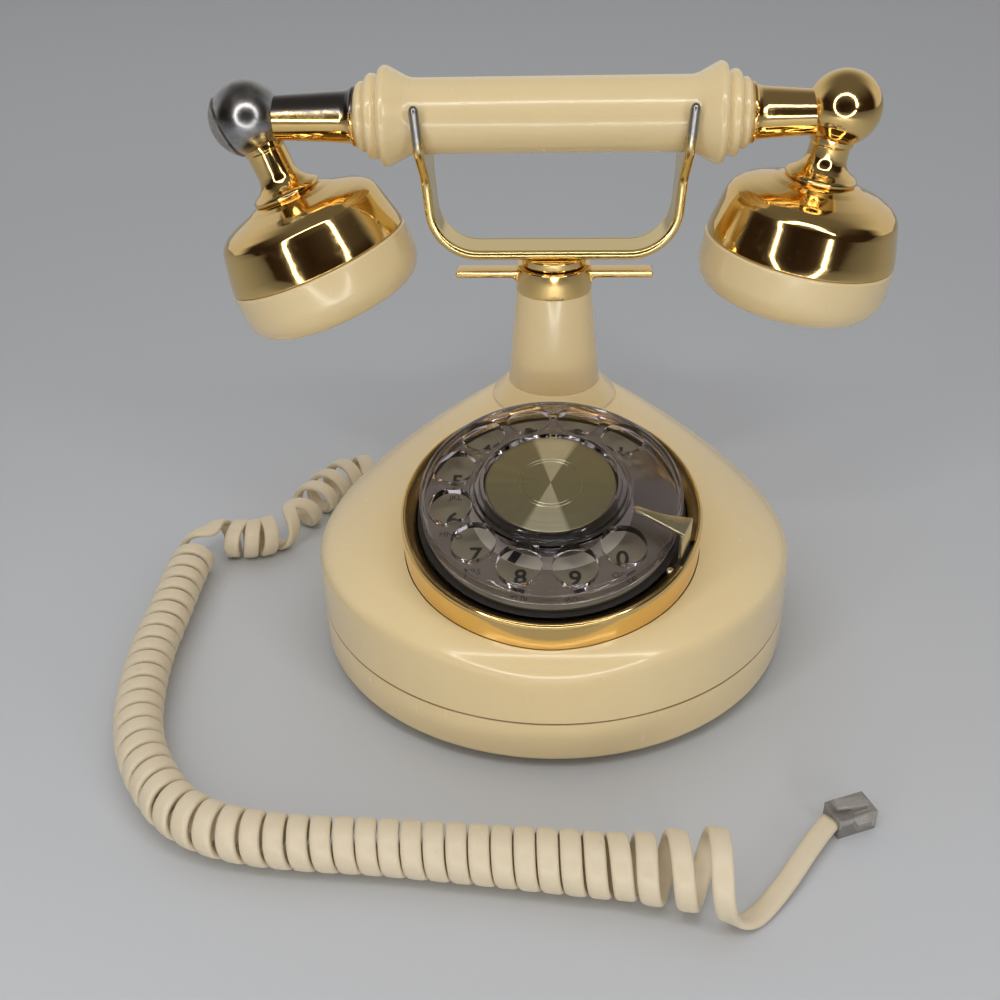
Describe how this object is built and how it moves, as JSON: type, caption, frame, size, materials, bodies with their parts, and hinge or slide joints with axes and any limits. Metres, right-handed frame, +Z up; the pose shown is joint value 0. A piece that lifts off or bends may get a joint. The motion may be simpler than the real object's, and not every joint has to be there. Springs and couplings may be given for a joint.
{
  "type": "pedestal rotary telephone",
  "caption": "Ivory and gold pedestal telephone: ball-ended handset on a forked cradle, column behind a tilted clear finger dial, round base, curly cord with a free plug.",
  "frame": {"origin": "on the table under the middle of the round base", "axes": "+Z up, dial faces -Y, handset lies along X with its cord socket at -X"},
  "size_m": [0.246, 0.213, 0.1707],
  "materials": {
    "ivory_moulding": "glossy ivory moulding",
    "gold_plating": "polished gold plate",
    "worn_plating": "plating worn to grey",
    "steel": "zinc plated",
    "brass_work": "bare brass",
    "spun_brass": "spun finish",
    "number_plate": "khaki enamel with printed digits",
    "clear_plastic": "clear moulding",
    "foot_rubber": "matt rubber",
    "dark_plastic": "matt",
    "coil_winding": "enamelled wire",
    "board": "board",
    "cord_sheath": "flat ivory sheath"
  },
  "bodies": {
    "base": {"base_shell": "ivory_moulding", "base_pan": "ivory_moulding", "feet": "foot_rubber", "base_screws": "steel", "ballast_plate": "steel", "column_flange": "ivory_moulding", "column": "ivory_moulding", "column_nut": "steel", "collar": "gold_plating", "plunger_spring": "steel", "hook_bracket": "steel", "hook_contacts": "brass_work", "dial_bezel": "gold_plating", "number_plate": "number_plate", "finger_stop": "spun_brass", "dial_frame": "steel", "return_spring": "steel", "governor_cup": "steel", "pulse_contacts": "brass_work", "gong": "brass_work", "gong_post": "steel", "ringer_coil": "coil_winding", "network_block": "board", "line_jack": "dark_plastic", "cord_gland": "cord_sheath", "cord_root": "cord_sheath", "curly_cord": "cord_sheath", "cord_lead": "cord_sheath", "modular_plug": "clear_plastic", "plug_contacts": "brass_work"},
    "cradle": {"plunger_hub": "gold_plating", "cradle": "gold_plating", "plunger_rod": "steel"},
    "handset": {"grip": "ivory_moulding", "tie_tube": "steel", "neck_left": "gold_plating", "neck_right": "gold_plating", "ball_left": "worn_plating", "ball_right": "gold_plating", "handset_jack": "clear_plastic", "stem_left": "gold_plating", "stem_right": "gold_plating", "bell_left": "gold_plating", "bell_right": "gold_plating", "cap_left": "ivory_moulding", "cap_right": "ivory_moulding", "transmitter": "steel", "receiver": "steel", "transmitter_cup": "dark_plastic", "receiver_cup": "dark_plastic"},
    "dial": {"finger_wheel": "clear_plastic", "centre_disc": "spun_brass", "dial_shaft": "steel", "main_gear": "brass_work"},
    "governor": {"governor_spindle": "brass_work"},
    "hook_lever": {"hook_lever": "brass_work"},
    "clapper": {"clapper": "brass_work"}
  },
  "joints": [
    {"name": "cradle_plunge", "type": "slide", "parent": "base", "child": "cradle", "axis": [0, 0, 1], "range_m": [0, 0.004], "stiffness_N_per_m": 150, "springref_m": 0.01, "deforming": ["plunger_spring"]},
    {"name": "handset_lift", "type": "slide", "parent": "cradle", "child": "handset", "axis": [0, 0, 1], "range_m": [0, 0.06]},
    {"name": "dial_turn", "type": "hinge", "parent": "base", "child": "dial", "pos_m": [0, -0.0316, 0.0671], "axis": [0, -0.2723, 0.9622], "range_deg": [-326, 0], "stiffness_Nm_per_rad": 0.004, "springref_deg": 85.94},
    {"name": "governor_spin", "type": "hinge", "parent": "base", "child": "governor", "pos_m": [-0.01881, -0.01734, 0.05659], "axis": [0, -0.2723, 0.9622], "range_deg": [0, 1635]},
    {"name": "hook_lever_turn", "type": "hinge", "parent": "base", "child": "hook_lever", "pos_m": [0.016, 0.0368, 0.027], "axis": [0, 1, 0], "range_deg": [0, 13]},
    {"name": "clapper_swing", "type": "hinge", "parent": "base", "child": "clapper", "pos_m": [-0.01226, 0.01859, 0.016], "axis": [0, 0, 1], "range_deg": [-4, 2], "stiffness_Nm_per_rad": 0.002}
  ],
  "couplings": [
    {"joint": "governor_spin", "follows": "dial_turn", "ratio": -5},
    {"joint": "hook_lever_turn", "follows": "cradle_plunge", "rad_per_m": 56}
  ]
}
